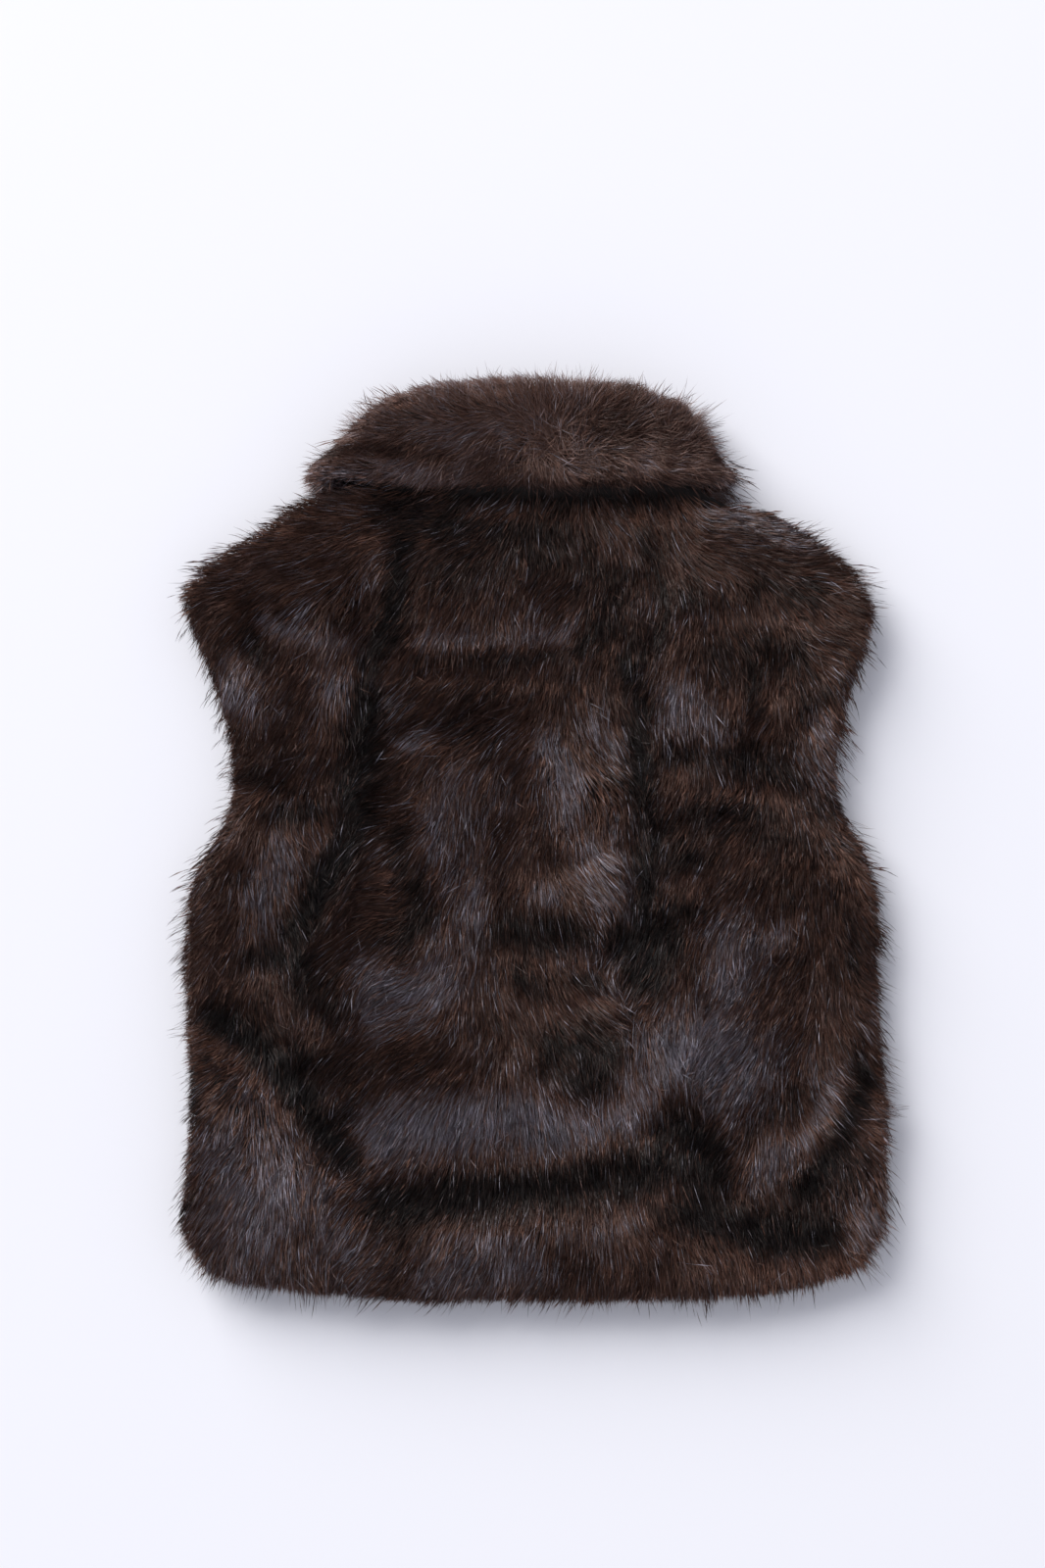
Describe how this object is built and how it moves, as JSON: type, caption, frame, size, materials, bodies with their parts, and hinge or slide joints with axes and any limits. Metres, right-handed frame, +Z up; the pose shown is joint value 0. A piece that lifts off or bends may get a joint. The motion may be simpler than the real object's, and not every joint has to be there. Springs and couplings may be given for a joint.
{
  "type": "faux fur vest",
  "caption": "Cropped sleeveless faux fur vest with a turn-down fur collar, open at the centre front, laid flat and face down with its back uppermost.",
  "frame": {"origin": "bottom centre of the vest's box, on the surface it lies on", "axes": "+X across the chest, +Y from the hem to the collar, +Z up from the surface through the fronts to the back"},
  "size_m": [0.511, 0.6634, 0.0508],
  "materials": {
    "back_fur": "long-pile faux fur, dark brown with near-black tips and a soft cool sheen",
    "front_fur": "long-pile faux fur, dark brown with near-black tips and a soft cool sheen",
    "collar_fur": "long-pile faux fur, warm dark brown with darker tips"
  },
  "bodies": {
    "root": {"back_panel": "back_fur", "front_left": "front_fur", "front_right": "front_fur", "collar": "collar_fur"}
  },
  "joints": []
}
